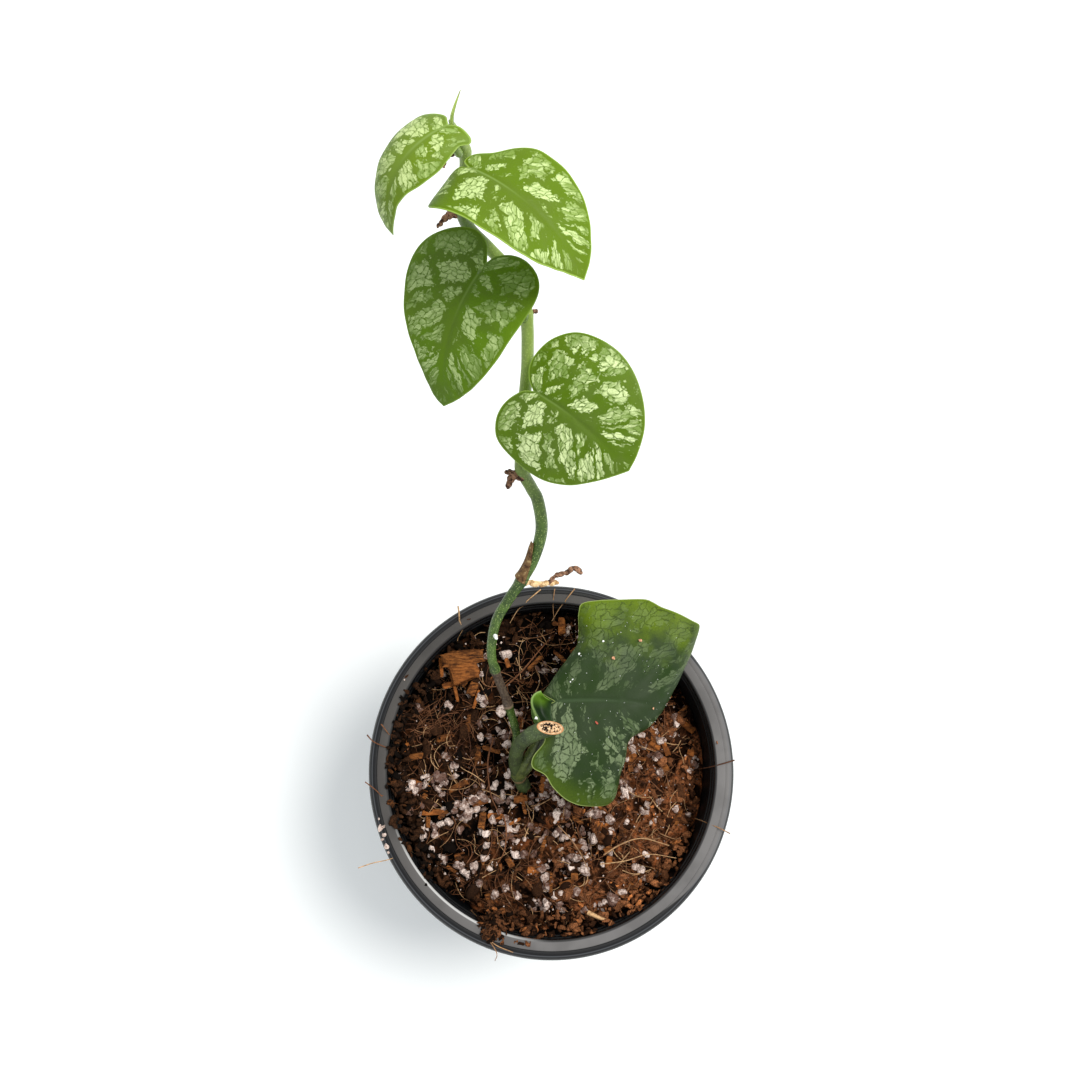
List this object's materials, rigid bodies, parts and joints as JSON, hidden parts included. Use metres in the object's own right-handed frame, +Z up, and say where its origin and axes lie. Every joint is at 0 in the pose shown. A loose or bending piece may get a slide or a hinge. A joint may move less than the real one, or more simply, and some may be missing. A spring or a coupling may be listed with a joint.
{
  "type": "potted monstera dubia",
  "caption": "Round black nursery pot of potting mix with a rooted monstera dubia cutting; its young vine leans out over the rim with silver-patched heart-shaped leaves.",
  "frame": {"origin": "centre of the pot's underside, on the surface it stands on", "axes": "+Z up, +Y the way the vine leans out over the rim, +X to the right of it, towards the old leaf of the cutting"},
  "size_m": [0.1064, 0.1675, 0.242],
  "materials": {
    "pot_plastic": "thin black pot plastic, satin, with a slightly worn grey rim",
    "potting_mix": "dark red-brown coir and peat with white perlite and orange-brown bark",
    "cutting_stem": "old green stem with pale speckles, a tan node ring and a dry cream cut",
    "vine_stem": "green with dense pale speckles, brown and dry near its foot",
    "cutting_leaf": "dark green, satin, with grey-green patches between the side veins",
    "vine_leaf": "mid green, satin, with silvery patches between the side veins",
    "young_leaf": "light yellow-green, satin, with silvery patches between the side veins",
    "new_leaf": "pale yellow-green, smooth, rolled up tight",
    "dry_sheath": "dry, papery, brown",
    "aerial_root": "dry, tan to dark brown, finely wrinkled"
  },
  "bodies": {
    "root": {"pot": "pot_plastic", "potting_mix": "potting_mix", "cutting_stem": "cutting_stem", "vine_stem": "vine_stem", "cutting_leaf": "cutting_leaf", "vine_leaf_1": "vine_leaf", "vine_leaf_2": "vine_leaf", "vine_leaf_3": "young_leaf", "vine_leaf_4": "young_leaf", "new_leaf_spike": "new_leaf", "node_sheath": "dry_sheath", "aerial_root_1": "aerial_root", "aerial_root_2": "aerial_root", "aerial_root_3": "aerial_root", "aerial_root_4": "aerial_root", "aerial_root_5": "aerial_root"}
  },
  "joints": []
}
